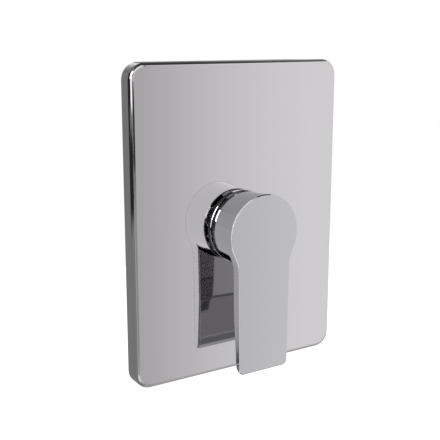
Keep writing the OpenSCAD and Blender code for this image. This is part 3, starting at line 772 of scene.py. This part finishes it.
def add_arm_wall(skin, band, wall_y):
    """The arm's side walls. Returns their back corners, where its back's rounded edge starts."""
    first, second = [], []
    for p, w, s in band:
        low = p - w * taken_in(ARM_BACK_Y)
        y = arm_back(low.y)[0] - BACK_FILLET * s
        first.append(at(p, w, taken_in(wall_y), wall_y, DRAFT))
        second.append(at(p, w, taken_in(y), y, DRAFT))
    skin.strip(first, second, closed=False)
    return second


def back_corner(place, out, share, d):
    """(place, way out) on the back's rounded edge: d is 0 at the wall and 1 on the back."""
    least_run = 0.02
    fillet = BACK_FILLET * share
    spot = place - out * (taken_in(ARM_BACK_Y) + d * fillet)
    y, slope = arm_back(spot.y)
    rest = sqrt(max(1 - (1 - d) ** 2, 0.0))
    y -= fillet * (1 - rest)
    steep = (1 - d) / max(rest, least_run)
    if share <= LEAST_SHARE:
        steep = 0.0
    return (spot.x, y, spot.y), Vector((steep * out.x, 1.0, steep * out.y - slope))


def add_arm_back(skin, band, wall_end):
    """The arm's back and its rounded edge. Returns the directions from the head's axis to the
    corners of the head's circle on it, from the right side to the lowest point."""
    shares = [1 - cos(turn) for turn in ring_steps(0, pi / 2, FILLET_STEPS)]
    rings = [[back_corner(p, w, s, d) for p, w, s in band] for d in shares]
    rings[0] = [(place, (way[0], 0.0, way[2])) for (place, _), (_, way) in zip(rings[0], wall_end)]
    skin.strip(wall_end, rings[0], closed=False)
    skin.stack(rings, closed=False, mark=1)
    edge = rings[-1]
    radius = head_radius(ARM_BACK_Y)
    arc_end = -radius + 0.05
    arcs = []
    # Rows across the back, which end on the head's circle as long as that is as low as they are
    for i in range(len(edge) // 2 - 1):
        a, b = edge[i], edge[i + 1]
        c, d = edge[-1 - i], edge[-2 - i]
        za, zb = a[0][2], b[0][2]
        if zb > arc_end or za > arc_end:
            xa = sqrt(max(radius ** 2 - za ** 2, 0.0))
            xb = sqrt(max(radius ** 2 - zb ** 2, 0.0)) if zb > arc_end else 0.0
            zb_on = zb if xb else -radius
            if not arcs:
                arcs.append((xa, za))
            arcs.append((xb, zb_on))
            for s, (p, q) in ((1, (a, b)), (-1, (c, d))):
                skin.face([p, q, ((s * xb, ARM_BACK_Y, zb_on), (0, 1, 0)),
                           ((s * xa, ARM_BACK_Y, za), (0, 1, 0))], 1)
        else:
            skin.face([a, b, d, c], 1)
    return [(x / radius, z / radius) for x, z in arcs]


def on_wall(x, z, y):
    """(place, way out) on the head's wall, in the direction (x, z) from its axis."""
    grown = head_radius(y)
    return (x * grown, y, z * grown), (x * cos(DRAFT), -sin(DRAFT), z * cos(DRAFT))


def add_lower_wall(skin, arcs, levels):
    """The head's wall behind the arm, with the hole for the plug at its lowest point."""
    radius = head_radius(ARM_BACK_Y)
    last = max(i for i, (x, _) in enumerate(arcs) if x * radius > COVER_PATCH)
    for s in (1, -1):
        for (xa, za), (xb, zb) in zip(arcs[:last], arcs[1:]):
            for y, later in zip(levels, levels[1:]):
                skin.face([on_wall(s * xa, za, y), on_wall(s * xb, zb, y),
                           on_wall(s * xb, zb, later), on_wall(s * xa, za, later)], 1)
    # The patch round the hole is cut into faces as it lies unrolled: (turn round the head, depth)
    low_arc = arcs[last:] + [(-x, z) for x, z in reversed(arcs[last:-1])]
    turns = [atan2(x, -z) for x, z in low_arc]
    loop = [(turn, levels[0]) for turn in turns]
    loop += [(turns[-1], y) for y in levels[1:-1]]
    loop += [(turn, levels[-1]) for turn in reversed(turns)]
    loop += [(turns[0], y) for y in reversed(levels[1:-1])]
    hole = [(asin(COVER_HOLE_R * sin(turn) / HEAD_R), COVER_Y + COVER_HOLE_R * cos(turn))
            for turn in ring_steps(0, 2 * pi, COVER_HOLE_STEPS)[:-1]]
    unrolled = [[Vector((turn * HEAD_R, y, 0)) for turn, y in part] for part in (loop, hole)]
    corners = [on_wall(sin(turn), -cos(turn), y) for turn, y in loop + hole]
    for numbers in tessellate_polygon(unrolled):
        skin.face([corners[i] for i in numbers], 1)


def add_rim(skin, top, arcs, rim_edge_y):
    """The head's rim: its rounded outer edge, and its flat ring round the hollow."""
    outline = [(place, way) for place, way, _ in top]
    outline += [(Vector((x, z)) * HEAD_R, Vector((x, z))) for x, z in arcs[1:-1]]
    outline += [(Vector((-x, z)) * HEAD_R, Vector((-x, z))) for x, z in reversed(arcs[1:])]
    rings = [[at(p, w, taken_in(rim_edge_y), rim_edge_y, DRAFT) for p, w in outline]]
    for turn in ring_steps(DRAFT, -pi / 2, FILLET_STEPS)[1:]:
        y = RIM_Y - RIM_FILLET * (1 + sin(turn))
        inset = taken_in(rim_edge_y) + RIM_FILLET * (1 - cos(turn))
        rings.append([at(p, w, inset, y, turn) for p, w in outline])
    skin.stack(rings, mark=1)
    outer = [place for place, _ in rings[-1]]
    inner = [(HEAD_IN * cos(turn), RIM_Y, HEAD_IN * sin(turn))
             for turn in ring_steps(0, 2 * pi, HEAD_IN_STEPS)[:-1]]
    skin.flat([outer, inner], (0, 1, 0), 1)


def inside_head(middle):
    """True for the CAD node's faces inside the head and in the plug's hole."""
    across = hypot(middle.x, middle.z)
    if middle.y > RIM_Y - PICK and across > HEAD_IN - PICK:
        return False
    if across < HEAD_IN + PICK and middle.y > FRONT_Y + PICK:
        return True
    return (hypot(middle.x, middle.y - COVER_Y) < COVER_HOLE_R + PICK_CLOSE
            and middle.z < -HEAD_IN + 1.0)


def build_lever():
    """The lever: its front, walls and back are made here, its inside comes from the frame."""
    skin = Skin()
    head, arm = lever_half()
    add_front(skin, both_sides(head + arm))
    wall_y = edge_profile()[-1][1]
    rim_edge_y = RIM_Y - RIM_FILLET
    levels = [wall_y, ARM_BACK_Y] + ring_steps(ARM_BACK_Y, rim_edge_y, WALL_ROWS)[1:]
    top = both_sides(head)
    top = top[len(head):] + top[:len(head)]
    add_head_wall(skin, top, levels)
    band = [(head[-1][0], head[-1][1], 0.0)] + arm
    band += mirrored(band)
    wall_end = add_arm_wall(skin, band, wall_y)
    arcs = add_arm_back(skin, band, wall_end)
    add_lower_wall(skin, arcs, levels[1:])
    add_rim(skin, top, arcs, rim_edge_y)
    skin.take(frame["nodes"]["lever_handle"].data, inside_head, 1)
    skin.build("lever_casting", "lever_set", [lever_chrome, lever_back], ["lever_handle"])


def build_screw_cover():
    """The plug under the head: its outer end follows the head's wall, with a rounded edge."""
    low, high = (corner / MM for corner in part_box("screw_cover"))
    radius = (high.x - low.x) / 2
    middle_y = (low.y + high.y) / 2
    inner_z = high.z
    soft = 0.35
    proud = 0.05

    def top(reach, turn, drop=0.0, tilt=0.0):
        """(place, way out) on the outer end, drop deeper in and tilted towards the side."""
        x = reach * cos(turn)
        y = middle_y + reach * sin(turn)
        grown = head_radius(y) + proud - drop
        z = -sqrt(grown * grown - x * x)
        way = Vector((x / grown, 0, z / grown)) * cos(tilt)
        way += Vector((cos(turn), sin(turn), 0)) * sin(tilt)
        return (x, y, z), way

    turns = ring_steps(0, 2 * pi, PLUG_STEPS)[:-1]
    skin = Skin()
    rings = [[top(reach, turn) for turn in turns] for reach in (0.4, 1.0, 1.7, 2.3, radius - soft)]
    skin.flat([[place for place, _ in rings[0]]], (0, 0, -1))
    for tilt in ring_steps(0, pi / 2, EDGE_STEPS)[1:]:
        rings.append([top(radius - soft * (1 - sin(tilt)), turn, soft * (1 - cos(tilt)), tilt)
                      for turn in turns])
    skin.stack(rings)
    wall = [(place, (cos(turn), sin(turn), 0)) for (place, _), turn in zip(rings[-1], turns)]
    foot = [((place[0], place[1], inner_z), way) for place, way in wall]
    skin.strip(wall, foot)
    skin.flat([[place for place, _ in foot]], (0, 0, 1))
    skin.build("index_plug", "lever_set", [finishes["index_plastic"]], ["screw_cover"])


# Valve body: the casting from the frame, with real threads cut in its three ports
THREAD_R = 9.32
THREAD_LEN = 15.0
THREAD_DEPTH = 1.16
THREAD_PITCH = 1.814
# One turn of the thread: (share of the pitch, share of the depth)
THREAD_SHAPE = [(0.0, 0.0), (0.12, 0.0), (0.44, 1.0), (0.56, 1.0), (0.88, 0.0)]
THREAD_FIRST_TURN = -2
THREAD_TURN_STEPS = 60
# Cone at a port's mouth: its length, how much it widens per length, and its way out
PORT_LEAD = 0.9
LEAD_WIDENS = 0.6
LEAD_WAY = (-1, 0.8)
# Spanner flats of a port
HEX_FLATS = 28.0
HEX_R = HEX_FLATS / sqrt(3)
# Machined places besides the ports: the chamber, and the holes of the lugs
CHAMBER_R = 18.3
LUG_X = 31.0
LUG_Z = 24.0
LUG_HOLE_R = 2.75


def add_port(skin, along, reach, port_y):
    """A port's flat end, cone and thread. It points along, and ends reach from the middle."""
    side = Vector((0, 1, 0))
    third = along.cross(side)
    root = THREAD_R + THREAD_DEPTH
    mouth_r = root + PORT_LEAD * LEAD_WIDENS

    def spot(radius, turn, depth):
        """A place round the port's axis, this deep in it."""
        return (Vector((0, port_y, 0)) + along * (reach - depth)
                + side * (radius * cos(turn)) + third * (radius * sin(turn)))

    def ring(radius, depth, way):
        """A ring in the port; way is (outward share, share along the port)."""
        return [(spot(radius, turn, depth),
                 side * (way[0] * cos(turn)) + third * (way[0] * sin(turn)) + along * way[1])
                for turn in ring_steps(0, 2 * pi, THREAD_TURN_STEPS)[:-1]]

    hexagon = [spot(HEX_R, pi / 6 + pi / 3 * i, 0) for i in range(6)]
    mouth = ring(mouth_r, 0, (0, 1))
    skin.flat([hexagon, [place for place, _ in mouth]], along, 1)
    skin.strip(ring(mouth_r, 0, LEAD_WAY), ring(root, PORT_LEAD, LEAD_WAY), mark=1)
    # The thread's rows run past both ends and are cut off there. What lies twice on an end
    # plane falls out, and what is left once closes the thread there.
    rows = [(THREAD_FIRST_TURN - 0.1, root)]
    for turn_count in range(THREAD_FIRST_TURN, ceil(THREAD_LEN / THREAD_PITCH) + 1):
        for start, share in THREAD_SHAPE:
            rows.append((turn_count + start, THREAD_R + THREAD_DEPTH * share))
    flanks = {}
    for (a, ra), (b, rb) in zip(rows, rows[1:]):
        slope = (rb - ra) / ((b - a) * THREAD_PITCH)
        for i in range(THREAD_TURN_STEPS):
            corners = []
            for step, row, radius in ((i, a, ra), (i + 1, a, ra), (i + 1, b, rb), (i, b, rb)):
                turn = 2 * pi * step / THREAD_TURN_STEPS
                depth = (row + step / THREAD_TURN_STEPS) * THREAD_PITCH
                depth = min(max(depth, PORT_LEAD), THREAD_LEN)
                way = -(side * cos(turn) + third * sin(turn)) - along * slope
                corners.append((spot(radius, turn, depth), way))
            key = frozenset(tuple(round(c, 3) for c in place) for place, _ in corners)
            if key in flanks:
                del flanks[key]
            else:
                flanks[key] = corners
    for corners in flanks.values():
        skin.face(corners, 1)


def build_valve_body():
    """The casting's faces come from the frame, apart from the ports' bores and ends."""
    low, high = (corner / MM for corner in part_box("valve_body"))
    source = frame["nodes"]["valve_body"].data
    port_y = high.y - HEX_FLATS / 2
    ports = [(Vector((1, 0, 0)), high.x), (Vector((-1, 0, 0)), -low.x), (Vector((0, 0, 1)), high.z)]

    def kind(middle):
        """None for faces that are made anew, 1 for faces that are cut, 0 for cast faces."""
        for along, reach in ports:
            out = middle.dot(along)
            off = middle - Vector((0, port_y, 0)) - along * out
            if out > reach - ON_PLANE and off.length < HEX_R:
                return None
            if out > reach - THREAD_LEN - ON_PLANE and off.length < THREAD_R + PICK:
                return None if out > reach - THREAD_LEN + ON_PLANE else 1
            if out > 1.0 and off.length < THREAD_R and middle.y > port_y - THREAD_R:
                return 1
        across = hypot(middle.x, middle.z)
        if across < CHAMBER_R or middle.y < low.y + ON_PLANE:
            return 1 if middle.y < port_y else 0
        from_lug = hypot(abs(middle.x) - LUG_X, abs(middle.z) - LUG_Z)
        return 1 if from_lug < LUG_HOLE_R + PICK and middle.y > port_y else 0

    skin = Skin()
    for mark in (0, 1):
        skin.take(source, lambda middle: kind(middle) == mark, mark)
    for along, reach in ports:
        add_port(skin, along, reach, port_y)
    skin.build("valve_casting", "wall_set", [finishes["body_brass"], cut_brass], ["valve_body"])


build_lever()
build_screw_cover()
build_valve_body()
